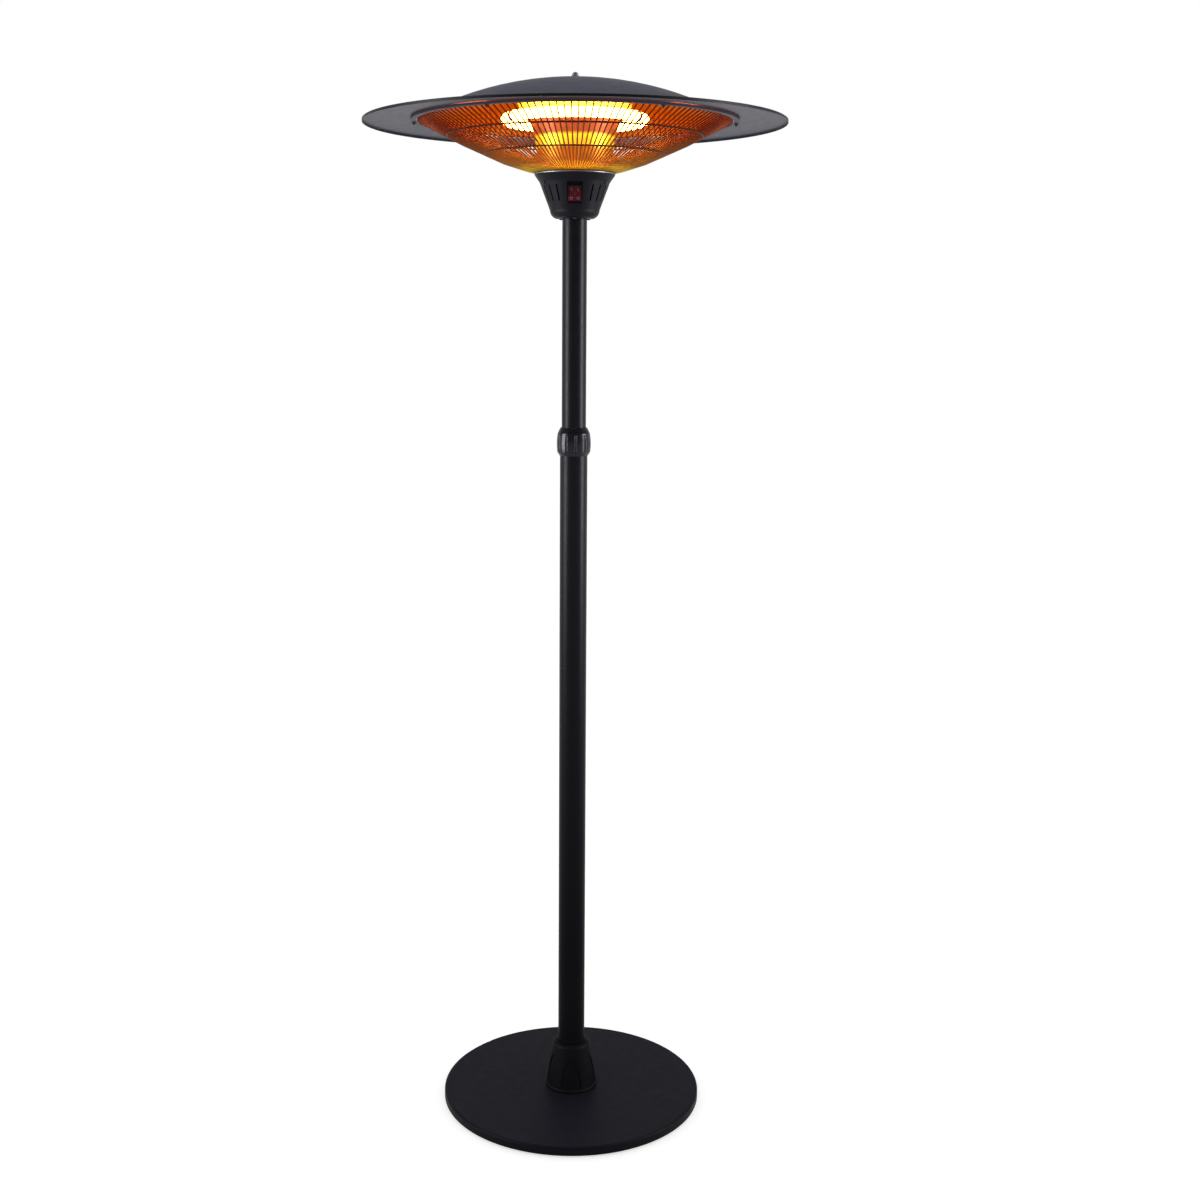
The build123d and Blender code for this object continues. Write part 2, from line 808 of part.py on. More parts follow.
with BuildPart() as cable_gland:
    with BuildSketch(Plane.XZ.offset(-gland_inner)):
        with Locations((0, gland_height)):
            Circle(gland_radius)
    extrude(amount=-(gland_seat - gland_inner))
    with BuildSketch(Plane.XZ.offset(-gland_seat)):
        with Locations((0, gland_height)):
            RegularPolygon(9.0, 6, major_radius=False)
    extrude(amount=-(gland_flange - gland_seat))
    with Locations(Location((0, 55.0, gland_height), (90, 0, 0))):
        Cylinder(cord_bore, 60, mode=Mode.SUBTRACT)
cable_gland.part.label = "cable_gland"
export_step(cable_gland.part, "parts/cable_gland.step")

with BuildPart() as gland_cap:
    with BuildSketch(Plane.XZ.offset(-gland_flange)):
        with Locations((0, gland_height)):
            Circle(gland_cap_radius)
    extrude(amount=-(gland_end - gland_flange))
    chamfer(gland_cap.edges().group_by(Axis.Y)[-1], 2.2)
    with Locations(Location((0, 70.0, gland_height), (90, 0, 0))):
        Cylinder(cord_bore, 40, mode=Mode.SUBTRACT)
gland_cap.part.label = "gland_cap"
export_step(gland_cap.part, "parts/gland_cap.step")

with BuildPart() as gland_nut:
    with Locations(Location((0, boss_back, gland_height), (90, 0, 0))):
        add(hexagon(17.0, gland_nut_thickness, bore=gland_radius + thread_gap))
gland_nut.part.label = "gland_nut"
export_step(gland_nut.part, "parts/gland_nut.step")

# ================================================================== centre column and dish
# The polished column stands on the lid, flares out under the lamp and again above it, and
# meets the dish.
dish_apex = rim_height - 1.0 + dish_rise
dish_sphere = (dish_radius**2 + dish_rise**2) / (2 * dish_rise)
dish_sheet = 1.0
dish_rim = rim_radius - 2.0
dish_under = rim_height - dish_sheet
column_sheet = 1.0
grommet_distance = 94.5
grommet_radius = 4.0
lead_radius = 1.6
rod_gap = m8_radius + bolt_gap
middle = 160.0


def dish_height(radius):
    """Height of the dish's upper surface at a radius."""
    return dish_apex - dish_sphere + sqrt(dish_sphere**2 - radius**2)


column_side = [
    (column_foot_radius, housing_top),
    (77.3, 1972.5),
    (87.6, 2000.5),
    (100.5, 2008.0),
    (110.5, 2034.0),
    (column_top_radius, dish_height(column_top_radius) - dish_sheet - 0.45),
]

with BuildPart() as centre_column:
    with BuildSketch(Plane.XZ):
        with BuildLine():
            Polyline(*column_side)
            offset(amount=column_sheet, side=Side.LEFT)
        make_face()
    revolve(axis=Axis.Z)
    for side in (lead_offset, -lead_offset):
        with Locations(Location((side, grommet_distance, lamp_height), (90, 0, 0))):
            Cylinder(grommet_radius + 0.1, 40, mode=Mode.SUBTRACT)
    with Locations(*[Rotation(0, 0, angle) for angle in clip_angles]):
        with Locations((90, 0, lamp_height)):
            Box(24, 8.6, 2.4, mode=Mode.SUBTRACT)
centre_column.part.label = "centre_column"
export_step(centre_column.part, "parts/centre_column.step")

with BuildPart() as reflector:
    with BuildSketch(Plane.XZ):
        with BuildLine():
            ThreePointArc(
                (rod_gap, dish_height(rod_gap)),
                (middle, dish_height(middle)),
                (dish_radius, rim_height),
            )
            Line((dish_radius, rim_height), (dish_rim, rim_height))
            Line((dish_rim, rim_height), (dish_rim, dish_under))
            Line((dish_rim, dish_under), (dish_radius, dish_under))
            ThreePointArc(
                (dish_radius, dish_under),
                (middle, dish_height(middle) - dish_sheet),
                (rod_gap, dish_height(rod_gap) - dish_sheet),
            )
            Line((rod_gap, dish_height(rod_gap) - dish_sheet), (rod_gap, dish_height(rod_gap)))
        make_face()
    revolve(axis=Axis.Z)
    with Locations((0, 0, rim_height)):
        with PolarLocations(stud_circle, 6):
            Hole(m4_radius + bolt_gap)
reflector.part.label = "reflector"
export_step(reflector.part, "parts/reflector.step")

# ================================================================== ring lamp
# A quartz tube bent to a ring, its two ends in ceramic caps at the back.
cap_start = 90 + 1.6
cap_sweep = lamp_gap - 1.6
tube_start = 90 + lamp_gap
tube_sweep = 360 - 2 * lamp_gap
tube_wall = 1.5
filament_radius = 2.4
clip_width = 8.0
clip_sheet = 1.6
clip_reach = 36.0

with BuildPart() as lamp_tube:
    add(
        ring_arc(
            lamp_circle,
            lamp_radius,
            lamp_height,
            tube_start,
            tube_sweep,
            bore=lamp_radius - tube_wall,
        )
    )
lamp_tube.part.label = "lamp_tube"
export_step(lamp_tube.part, "parts/lamp_tube.step")

with BuildPart() as lamp_filament:
    add(ring_arc(lamp_circle, filament_radius, lamp_height, tube_start, tube_sweep))
lamp_filament.part.label = "lamp_filament"
export_step(lamp_filament.part, "parts/lamp_filament.step")

with BuildPart() as lamp_caps:
    add(ring_arc(lamp_circle, lamp_radius + 2.0, lamp_height, cap_start, cap_sweep))
    mirror(about=Plane.YZ)
lamp_caps.part.label = "lamp_caps"
export_step(lamp_caps.part, "parts/lamp_caps.step")

with BuildPart() as lamp_clip:
    with BuildSketch(Plane.XZ.offset(-clip_width / 2)):
        with Locations((lamp_circle, lamp_height)):
            Circle(lamp_radius + 1.7)
            Circle(lamp_radius + 0.2, mode=Mode.SUBTRACT)
    extrude(amount=clip_width)
    with Locations((lamp_circle - lamp_radius - 1.0, 0, lamp_height)):
        Box(clip_reach, clip_width, clip_sheet, align=(Align.MAX, Align.CENTER, Align.CENTER))
    with Locations((lamp_circle - lamp_radius - 1.0 - clip_reach, 0, lamp_height - clip_sheet / 2)):
        Box(clip_sheet, clip_width, 7.0, align=(Align.MIN, Align.CENTER, Align.MIN))

with BuildPart() as lamp_clips:
    with Locations(*[Rotation(0, 0, angle) for angle in clip_angles]):
        add(lamp_clip.part)
lamp_clips.part.label = "lamp_clips"
export_step(lamp_clips.part, "parts/lamp_clips.step")

with BuildPart() as lead_grommet:
    with BuildSketch(Plane.XZ.offset(-(grommet_distance - 8.0))):
        with Locations((lead_offset, lamp_height)):
            Circle(grommet_radius)
            Circle(lead_radius + bolt_gap, mode=Mode.SUBTRACT)
    extrude(amount=-16.0)

with BuildPart() as lead_grommets:
    add(lead_grommet.part)
    mirror(about=Plane.YZ)
lead_grommets.part.label = "lead_grommets"
export_step(lead_grommets.part, "parts/lead_grommets.step")

with BuildPart() as lamp_leads:
    add(
        bent_rod(
            lead_radius,
            10.0,
            (lead_offset, lamp_circle - lamp_radius - 3.4, lamp_height),
            (lead_offset, block_middle, lamp_height),
            (lead_offset, block_middle, block_top - 5.0),
        )
    )
    mirror(about=Plane.YZ)
lamp_leads.part.label = "lamp_leads"
export_step(lamp_leads.part, "parts/lamp_leads.step")

# ================================================================== wire guard
# Radial wires welded to four rings.  The rings part by a hair between sectors.
guard_route = [
    (guard_foot_radius, 1905.1),
    (97.0, 1910.0),
    (141.0, 1924.0),
    (222.5, 1960.0),
    (guard_top_radius, 2002.2),
]
guard_rings = [guard_foot_radius, 176.0, 248.0, guard_top_radius]
sector_angle = 360 / guard_sectors
ring_cut = 0.05
wire_side = [(radius, height - wire_radius) for radius, height in guard_route]
wire_side += [(radius, height + wire_radius) for radius, height in reversed(guard_route)]


def guard_height(radius):
    """Height of the wires at a radius."""
    for (inner, low), (outer, high) in zip(guard_route, guard_route[1:]):
        if inner <= radius <= outer:
            return low + (high - low) * (radius - inner) / (outer - inner)


with BuildPart() as guard_wire:
    with BuildSketch(Plane.XZ.offset(-wire_radius)):
        add(outline(*wire_side, plane=Plane.XY))
    extrude(amount=2 * wire_radius)

with BuildPart() as guard_sector:
    with PolarLocations(
        0,
        wires_per_sector,
        start_angle=sector_angle / wires_per_sector / 2,
        angular_range=sector_angle,
        endpoint=False,
    ):
        add(guard_wire.part)
    with BuildSketch(Plane.XZ.rotated((0, 0, ring_cut))):
        for ring_radius in guard_rings:
            with Locations((ring_radius, guard_height(ring_radius))):
                RegularPolygon(ring_wire_radius, 8, major_radius=False, rotation=22.5)
    revolve(axis=Axis.Z, revolution_arc=sector_angle - 2 * ring_cut)

with BuildPart() as wire_guard:
    with PolarLocations(0, guard_sectors):
        add(guard_sector.part)
wire_guard.part.label = "wire_guard"
export_step(wire_guard.part, "parts/wire_guard.step")

# ================================================================== shade
# One spun sheet: a shallow dome, a flat seat for the dish, and a brim with a turned lip.
rim_top = rim_height + shade_sheet
brim_edge = 2000.0
stud_length = 11.5
lip_inside = shade_radius - shade_sheet
sphere_middle = dome_top - dome_radius


def dome_height(radius, sphere):
    """Height of a sphere about the dome's centre, at a radius."""
    return sphere_middle + sqrt(sphere**2 - radius**2)


def dome_reach(height, sphere):
    """Radius at which that sphere comes down to a height."""
    return sqrt(sphere**2 - (height - sphere_middle) ** 2)


inner_sphere = dome_radius - shade_sheet
outer_reach = dome_reach(rim_top, dome_radius)
inner_reach = dome_reach(rim_height, inner_sphere)

with BuildPart() as shade:
    with BuildSketch(Plane.XZ):
        with BuildLine():
            ThreePointArc(
                (rod_gap, dome_height(rod_gap, dome_radius)),
                (middle, dome_height(middle, dome_radius)),
                (outer_reach, rim_top),
            )
            Line((outer_reach, rim_top), (rim_radius, rim_top))
            Line((rim_radius, rim_top), (shade_radius - 2.0, brim_edge + shade_sheet))
            Line((shade_radius - 2.0, brim_edge + shade_sheet), (shade_radius, brim_edge))
            Line((shade_radius, brim_edge), (shade_radius, lip_height))
            Line((shade_radius, lip_height), (lip_inside, lip_height))
            Line((lip_inside, lip_height), (lip_inside, brim_edge - 0.5))
            Line((lip_inside, brim_edge - 0.5), (shade_radius - 2.6, brim_edge))
            Line((shade_radius - 2.6, brim_edge), (rim_radius, rim_height))
            Line((rim_radius, rim_height), (inner_reach, rim_height))
            ThreePointArc(
                (inner_reach, rim_height),
                (middle, dome_height(middle, inner_sphere)),
                (rod_gap, dome_height(rod_gap, inner_sphere)),
            )
            Line(
                (rod_gap, dome_height(rod_gap, inner_sphere)),
                (rod_gap, dome_height(rod_gap, dome_radius)),
            )
        make_face()
    revolve(axis=Axis.Z)
    with Locations((0, 0, rim_height + 0.4)):
        with PolarLocations(stud_circle, 6):
            Cylinder(m4_radius, stud_length, align=hanging)
shade.part.label = "shade"
export_step(shade.part, "parts/shade.step")

# A clamp ring under the dish's edge, whose lip carries the guard's outer ring.
clamp_foot = 1999.6
clamp_lip = 0.7
clamp_edge = rim_radius - 1.0
ring_edge = guard_top_radius + ring_wire_radius

with BuildPart() as rim_clamp:
    revolve(
        outline(
            (ring_edge - 1.1, clamp_foot),
            (clamp_edge, clamp_foot),
            (clamp_edge, dish_under),
            (ring_edge + 0.5, dish_under),
            (ring_edge + 0.5, clamp_foot + clamp_lip),
            (ring_edge - 1.1, clamp_foot + clamp_lip),
        )
    )
    with Locations((0, 0, rim_height)):
        with PolarLocations(stud_circle, 6):
            Hole(m4_radius + bolt_gap)
rim_clamp.part.label = "rim_clamp"
export_step(rim_clamp.part, "parts/rim_clamp.step")

with BuildPart() as rim_nuts:
    with Locations((0, 0, clamp_foot - m4_nut)):
        with PolarLocations(stud_circle, 6):
            add(hexagon(m4_flats, m4_nut, bore=m4_radius + thread_gap))
rim_nuts.part.label = "rim_nuts"
export_step(rim_nuts.part, "parts/rim_nuts.step")

# ================================================================== tie rod through the head
rod_foot = lid_foot - 9.0
rod_top = dome_top + 10.0
spacer_radius = 9.0
washer_radius = 8.5
nut_foot = dome_top + 1.6

with BuildPart() as tie_rod:
    with Locations((0, 0, rod_foot)):
        Cylinder(m8_radius, rod_top - rod_foot, align=upright)
    chamfer(tie_rod.edges().group_by(Axis.Z)[0], 0.8)
tie_rod.part.label = "tie_rod"
export_step(tie_rod.part, "parts/tie_rod.step")

with BuildPart() as rod_nut:
    with Locations((0, 0, lid_foot - m8_nut)):
        add(hexagon(m8_flats, m8_nut, bore=m8_radius + thread_gap))
rod_nut.part.label = "rod_nut"
export_step(rod_nut.part, "parts/rod_nut.step")

with BuildPart() as dome_spacer:
    add(tube(spacer_radius, rod_gap, dish_apex + 0.05, dome_top - shade_sheet - 0.1))
dome_spacer.part.label = "dome_spacer"
export_step(dome_spacer.part, "parts/dome_spacer.step")

with BuildPart() as top_washer:
    add(tube(washer_radius, rod_gap, dome_top, nut_foot))
top_washer.part.label = "top_washer"
export_step(top_washer.part, "parts/top_washer.step")

with BuildPart() as top_nut:
    with BuildSketch(Plane.XY.offset(nut_foot)):
        RegularPolygon(m8_flats / 2, 6, major_radius=False)
    extrude(amount=m8_nut)
    with Locations((0, 0, nut_foot + m8_nut)):
        Sphere(m8_flats / 2 - 0.1)
    with BuildSketch(Plane.XY.offset(nut_foot)):
        Circle(m8_radius + thread_gap)
    extrude(amount=9.5, mode=Mode.SUBTRACT)
    with Locations((0, 0, nut_foot)):
        Box(30, 30, 30, align=hanging, mode=Mode.SUBTRACT)
top_nut.part.label = "top_nut"
export_step(top_nut.part, "parts/top_nut.step")
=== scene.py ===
"""Looks of the infrared patio heater tower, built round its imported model.  Metres, +Z up,
and the switches face -Y."""

from math import cos, radians, sin, tau

import bmesh
import bpy
from mathutils import Euler, Matrix, Vector


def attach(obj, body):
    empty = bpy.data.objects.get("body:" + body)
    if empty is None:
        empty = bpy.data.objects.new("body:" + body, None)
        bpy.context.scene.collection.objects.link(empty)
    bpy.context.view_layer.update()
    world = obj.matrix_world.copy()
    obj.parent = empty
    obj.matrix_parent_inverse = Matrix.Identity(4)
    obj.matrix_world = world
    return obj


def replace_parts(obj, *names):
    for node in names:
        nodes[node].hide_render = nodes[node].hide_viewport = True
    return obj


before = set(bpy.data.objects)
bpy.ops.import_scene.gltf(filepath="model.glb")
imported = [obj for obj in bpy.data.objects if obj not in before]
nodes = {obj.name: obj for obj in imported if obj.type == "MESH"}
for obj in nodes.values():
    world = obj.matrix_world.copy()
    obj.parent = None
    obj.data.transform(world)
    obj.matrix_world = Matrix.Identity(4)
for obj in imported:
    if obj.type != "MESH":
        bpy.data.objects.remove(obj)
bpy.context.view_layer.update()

# ------------------------------------------------------------------ the photograph's view
# The optical axis and the focal length are in pixels of the photograph, the angles in degrees
# and the sensor's width in millimetres.
PHOTO_SIZE = 1200
AXIS_X = 573.3
AXIS_Y = 550
FOCAL_PIXELS = 1573.3
CAMERA_DISTANCE = 3.1365
CAMERA_HEIGHT = 1.6314
CAMERA_PITCH = 8.495
CAMERA_ROLL = 0.24
SENSOR = 36.0

# ------------------------------------------------------------------ sizes shared with the solids
# The guard's wires run through these (radius, height) points.
GUARD_ROUTE = [(0.076, 1.9051), (0.097, 1.91), (0.141, 1.924), (0.2225, 1.96), (0.3055, 2.0022)]
GUARD_RINGS = [0.076, 0.176, 0.248, 0.3055]
GUARD_WIRES = 144
WIRE_RADIUS = 0.0015
RING_RADIUS = 0.0017
ROCKER_PIN = Vector((0, -0.05, 1.8605))
ROCKER_TILT = radians(8)
ROCKER_MIDDLE = 0.0063
ROCKER_UP = Vector((0, sin(ROCKER_TILT), cos(ROCKER_TILT)))
ROCKER_OUT = Vector((0, -cos(ROCKER_TILT), sin(ROCKER_TILT)))
# Of a rocker's hollow face: how far inward of the pin its middle is, and its radius.
ROCKER_FACE = (-0.0043, 0.0826)

# ------------------------------------------------------------------ where a finish or painted light changes
# Each holds a lower and an upper height, and the lip's an inner and an outer radius.
WALL_TOP = (0.0198, 0.0209)
SHEEN_HEIGHTS = (0.3, 1.25)
GUARD_HEIGHTS = (1.905, 2.003)
DISH_HEIGHTS = (2.003, 2.059)
COLUMN_HEIGHTS = (1.9015, 2.0495)
LIP_RADIUS = (0.4092, 0.4096)

# Tint of the shine on all paint and plastic, and how strong the poles' is at SHEEN_HEIGHTS:
# painted shade that turns their shine down towards the foot.
COOL_SHEEN = (0.9, 0.88, 1.0, 1)
POLE_SHEEN = (0.025, 0.105)
# Most of a noise lies between these.
NOISE_LOW = 0.3
NOISE_HIGH = 0.7


def linear(red, green, blue):
    """Linear colour of a screen colour whose parts are given from 0 to 255."""
    parts = []
    for value in (red / 255, green / 255, blue / 255):
        parts.append(value / 12.92 if value <= 0.04045 else ((value + 0.055) / 1.055) ** 2.4)
    return (*parts, 1.0)


def fade(tree, value, start, stop, low, high):
    """A value that goes from low to high as another goes from start to stop."""
    made = tree.nodes.new("ShaderNodeMapRange")
    made.inputs["From Min"].default_value = start
    made.inputs["From Max"].default_value = stop
    made.inputs["To Min"].default_value = low
    made.inputs["To Max"].default_value = high
    tree.links.new(value, made.inputs["Value"])
    return made.outputs["Result"]


# ================================================================== materials
class Surface:
    """A material whose colour, roughness and relief come from textures in the object's space."""

    def __init__(self, name, **constants):
        self.material = bpy.data.materials.new(name)
        self.material.use_nodes = True
        self.tree = self.material.node_tree
        self.shader = self.tree.nodes["Principled BSDF"]
        for socket, value in constants.items():
            self.shader.inputs[socket.replace("_", " ")].default_value = value
        self.place = self.tree.nodes.new("ShaderNodeTexCoord").outputs["Object"]

    def node(self, kind, **settings):
        made = self.tree.nodes.new(kind)
        for setting, value in settings.items():
            setattr(made, setting, value)
        return made

    def join(self, source, target):
        self.tree.links.new(source, target)

    def noise(self, scale, detail, roughness=0.5):
        """Noise with about scale cells to the metre."""
        texture = self.node("ShaderNodeTexNoise")
        texture.inputs["Scale"].default_value = scale
        texture.inputs["Detail"].default_value = detail
        texture.inputs["Roughness"].default_value = roughness
        self.join(self.place, texture.inputs["Vector"])
        return texture.outputs["Fac"]

    def rings(self, scale, distortion):
        """Turning marks round the Z axis."""
        texture = self.node("ShaderNodeTexWave", wave_type="RINGS", rings_direction="Z")
        texture.inputs["Scale"].default_value = scale
        texture.inputs["Distortion"].default_value = distortion
        self.join(self.place, texture.inputs["Vector"])
        return texture.outputs["Fac"]

    def rise(self, foot, top, low=0.0, high=1.0):
        """Goes from low at the foot's height to high at the top's."""
        parts = self.node("ShaderNodeSeparateXYZ")
        self.join(self.place, parts.inputs["Vector"])
        return fade(self.tree, parts.outputs["Z"], foot, top, low, high)

    def reach(self, inner, outer):
        """0 at the inner distance from the Z axis and 1 at the outer one."""
        flat = self.node("ShaderNodeVectorMath", operation="MULTIPLY")
        flat.inputs[1].default_value = (1, 1, 0)
        self.join(self.place, flat.inputs[0])
        length = self.node("ShaderNodeVectorMath", operation="LENGTH")
        self.join(flat.outputs["Vector"], length.inputs[0])
        return fade(self.tree, length.outputs["Value"], inner, outer, 0.0, 1.0)

    def stray(self, value, noise, share):
        """A value that strays by a share of the noise."""
        made = self.node("ShaderNodeMath", operation="MULTIPLY_ADD")
        made.inputs[1].default_value = share
        self.join(noise, made.inputs[0])
        self.join(value, made.inputs[2])
        return made.outputs["Value"]

    def colour(self, factor, *stops, socket="Base Color"):
        """Runs a colour through (position, colour) stops as the factor goes from 0 to 1."""
        ramp = self.node("ShaderNodeValToRGB")
        elements = ramp.color_ramp.elements
        elements.remove(elements[1])
        elements[0].position, elements[0].color = stops[0]
        for position, shade in stops[1:]:
            elements.new(position).color = shade
        self.join(factor, ramp.inputs["Fac"])
        self.join(ramp.outputs["Color"], self.shader.inputs[socket])

    def over(self, mask, shade):
        """Lays another colour over the present one where the mask is 1."""
        mix = self.node("ShaderNodeMixRGB")
        mix.inputs["Color2"].default_value = shade
        self.join(mask, mix.inputs["Fac"])
        self.join(self.shader.inputs["Base Color"].links[0].from_socket, mix.inputs["Color1"])
        self.join(mix.outputs["Color"], self.shader.inputs["Base Color"])

    def roughness(self, noise, low, high):
        """Spreads the roughness between low and high by the noise."""
        spread = fade(self.tree, noise, NOISE_LOW, NOISE_HIGH, low, high)
        self.join(spread, self.shader.inputs["Roughness"])

    def relief(self, height, depth):
        """A bump as deep as depth, in metres."""
        bump = self.node("ShaderNodeBump")
        bump.inputs["Distance"].default_value = depth
        bump.inputs["Strength"].default_value = 1.0
        self.join(height, bump.inputs["Height"])
        self.join(bump.outputs["Normal"], self.shader.inputs["Normal"])


def paint(name, low, high, rough, grain, depth, **constants):
    """Sprayed paint or moulded plastic: a faintly uneven colour, and a grain of so many cells to
    the metre."""
    surface = Surface(name, Specular_Tint=COOL_SHEEN, **constants)
    clouds = surface.noise(24.0, detail=6.0, roughness=0.7)
    surface.colour(clouds, (NOISE_LOW, low), (NOISE_HIGH, high))
    surface.roughness(surface.noise(60.0, detail=4.0), *rough)
    surface.relief(surface.noise(grain, detail=2.0), depth)
    return surface


def metal(name, low, high, rough):
    """Bare metal with faint stains and a fine grain."""
    surface = Surface(name, Metallic=1.0)
    stains = surface.noise(22.0, detail=5.0, roughness=0.6)
    surface.colour(stains, (NOISE_LOW, low), (NOISE_HIGH, high))
    surface.roughness(surface.noise(300.0, detail=3.0, roughness=0.6), *rough)
    surface.relief(surface.noise(900.0, detail=2.0), depth=0.00001)
    return surface


powder_coat = paint(
    "powder_coat",
    linear(28, 27, 37),
    linear(30, 29, 39),
    rough=(0.5, 0.58),
    grain=700.0,
    depth=0.0003,
    Specular_IOR_Level=0.05,
)
# Painted shade: the base's wall, below its flat top, is darker, as it gets less light than the
# top.
powder_coat.over(powder_coat.rise(*WALL_TOP, 1.0, 0.0), linear(18, 17, 22))
pole_paint = paint(
    "pole_paint",
    linear(17, 16, 21),
    linear(20, 19, 24),
    rough=(0.3, 0.38),
    grain=420.0,
    depth=0.00006,
)
# Painted shade: the poles' shine is turned down towards the foot, where their highlights are
# dimmer.
pole_paint.join(
    pole_paint.rise(*SHEEN_HEIGHTS, *POLE_SHEEN), pole_paint.shader.inputs["Specular IOR Level"]
)
shade_paint = paint(
    "shade_paint",
    linear(68, 69, 84),
    linear(73, 74, 89),
    rough=(0.4, 0.48),
    grain=520.0,
    depth=0.00008,
    Specular_IOR_Level=0.1,
)
# The turned lip of the brim is darker: a painted dark reflection.
shade_paint.over(shade_paint.reach(*LIP_RADIUS), linear(14, 14, 18))
# The clamp and its nuts take a lighter copy of the shade's paint: painted light, so that they look
# as light as the brim's underside though they sit in its shade.
clamp_paint = paint(
    "clamp_paint",
    linear(88, 88, 98),
    linear(92, 92, 102),
    rough=(0.46, 0.54),
    grain=520.0,
    depth=0.00008,
    Specular_IOR_Level=0.07,
)
housing_plastic = paint(
    "housing_plastic",
    linear(21, 21, 28),
    linear(25, 24, 31),
    rough=(0.42, 0.54),
    grain=1300.0,
    depth=0.00012,
    Specular_IOR_Level=0.09,
)
collar_plastic = paint(
    "collar_plastic",
    linear(22, 21, 28),
    linear(26, 25, 32),
    rough=(0.18, 0.26),
    grain=900.0,
    depth=0.00005,
    Specular_IOR_Level=0.24,
)
boot_plastic = paint(
    "boot_plastic",
    linear(17, 16, 21),
    linear(20, 19, 24),
    rough=(0.5, 0.6),
    grain=900.0,
    depth=0.00006,
    Specular_IOR_Level=0.04,
)
sleeve_plastic = paint(
    "sleeve_plastic",
    linear(50, 50, 52),
    linear(60, 60, 62),
    rough=(0.45, 0.55),
    grain=900.0,
    depth=0.00006,
)
rubber = paint(
    "rubber",
    linear(26, 26, 26),
    linear(36, 35, 34),
    rough=(0.75, 0.9),
    grain=500.0,
    depth=0.0002,
)
silicone = paint(
    "silicone",
    linear(190, 180, 165),
    linear(205, 196, 182),
    rough=(0.6, 0.7),
    grain=500.0,
    depth=0.0001,
)
cast_iron = paint(
    "cast_iron",
    linear(70, 66, 62),
    linear(92, 86, 80),
    rough=(0.7, 0.85),
    grain=240.0,
    depth=0.0006,
)
ceramic = paint(
    "ceramic",
    linear(226, 221, 208),
    linear(238, 234, 224),
    rough=(0.5, 0.6),
    grain=800.0,
    depth=0.00008,
)
cream_plastic = paint(
    "cream_plastic",
    linear(205, 199, 180),
    linear(216, 210, 193),
    rough=(0.45, 0.55),
    grain=900.0,
    depth=0.00005,
)
lead_sleeve = paint(
    "lead_sleeve",
    linear(205, 203, 196),
    linear(228, 226, 220),
    rough=(0.8, 0.9),
    grain=1600.0,
    depth=0.0002,
)
black_screw = paint(
    "black_screw",
    linear(30, 30, 32),
    linear(42, 42, 44),
    rough=(0.35, 0.45),
    grain=900.0,
    depth=0.00004,
    Metallic=0.6,
)

zinc_steel = metal("zinc_steel", linear(150, 151, 155), linear(176, 177, 180), (0.25, 0.38))
bright_steel = metal("bright_steel", linear(160, 160, 166), linear(184, 184, 190), (0.12, 0.22))
satin_steel = metal("satin_steel", linear(118, 118, 124), linear(134, 134, 140), (0.4, 0.5))
brass = metal("brass", linear(196, 160, 86), linear(214, 180, 104), (0.24, 0.36))

# The guard's colours are painted lamp light: its wires run from gold at the foot to dark red at
# the edge as the lamp lights them, and its inner rings are dark brown, painted shade where they
# stand against the lamp.
lamp_lit_wire = Surface(
    "lamp_lit_wire",
    Metallic=0.2,
    Specular_IOR_Level=0.1,
    Specular_Tint=(0.4, 0.2, 0.1, 1),
)
lamp_lit_wire.colour(
    lamp_lit_wire.stray(lamp_lit_wire.rise(*GUARD_HEIGHTS), lamp_lit_wire.noise(40.0, detail=4.0), share=0.1),
    (0.08, linear(244, 196, 60)),
    (0.16, linear(178, 116, 42)),
    (0.4, linear(146, 86, 36)),
    (0.62, linear(130, 68, 32)),
    (0.85, linear(130, 56, 30)),
    (1.0, linear(134, 56, 30)),
)
lamp_lit_wire.roughness(lamp_lit_wire.noise(300.0, detail=3.0), low=0.34, high=0.46)
lamp_lit_wire.relief(lamp_lit_wire.noise(900.0, detail=2.0), depth=0.00001)
# The inner rings are painted dark brown: painted shade, as they are seen against the lamp.
shaded_ring_wire = paint(
    "shaded_ring_wire",
    linear(58, 28, 16),
    linear(70, 36, 20),
    rough=(0.4, 0.5),
    grain=900.0,
    depth=0.00001,
    Specular_IOR_Level=0.05,
)


def spun_reflector(name, edge, heights, share, rough, stops):
    """Polished sheet with the rings of metal spinning, coloured with painted lamp light.  Its
    colour runs through the stops between two heights and strays by a share, and edge is its tint
    where it is seen along the surface."""
    surface = Surface(name, Metallic=1.0, Specular_Tint=edge)
    clouds = surface.noise(9.0, detail=6.0, roughness=0.65)
    surface.colour(surface.stray(surface.rise(*heights), clouds, share), *stops)
    surface.roughness(surface.noise(120.0, detail=4.0, roughness=0.6), *rough)
    surface.relief(surface.rings(120.0, distortion=0.6), depth=0.00002)
    return surface


# The dish's orange is painted light: the glow of the lamp that it mirrors.
dish_metal = spun_reflector(
    "dish_metal",
    edge=(0.95, 0.4, 0.16, 1),
    heights=DISH_HEIGHTS,
    share=0.5,
    rough=(0.12, 0.2),
    stops=[
        (0.0, linear(216, 102, 68)),
        (0.7, linear(232, 114, 78)),
        (1.0, linear(224, 108, 72)),
    ],
)
# The column's bands of yellow and orange are painted lamp light and painted highlights, where the
# lamp ring lights it.
column_metal = spun_reflector(
    "column_metal",
    edge=(1.0, 0.45, 0.12, 1),
    heights=COLUMN_HEIGHTS,
    share=0.03,
    rough=(0.4, 0.48),
    stops=[
        (0.0, linear(255, 222, 70)),
        (0.13, linear(255, 222, 70)),
        (0.17, linear(190, 124, 38)),
        (0.32, linear(190, 118, 38)),
        (0.36, linear(255, 222, 60)),
        (0.48, linear(255, 222, 60)),
        (0.52, linear(164, 92, 58)),
        (0.76, linear(150, 78, 56)),
        (0.8, linear(236, 204, 96)),
        (1.0, linear(236, 204, 96)),
    ],
)

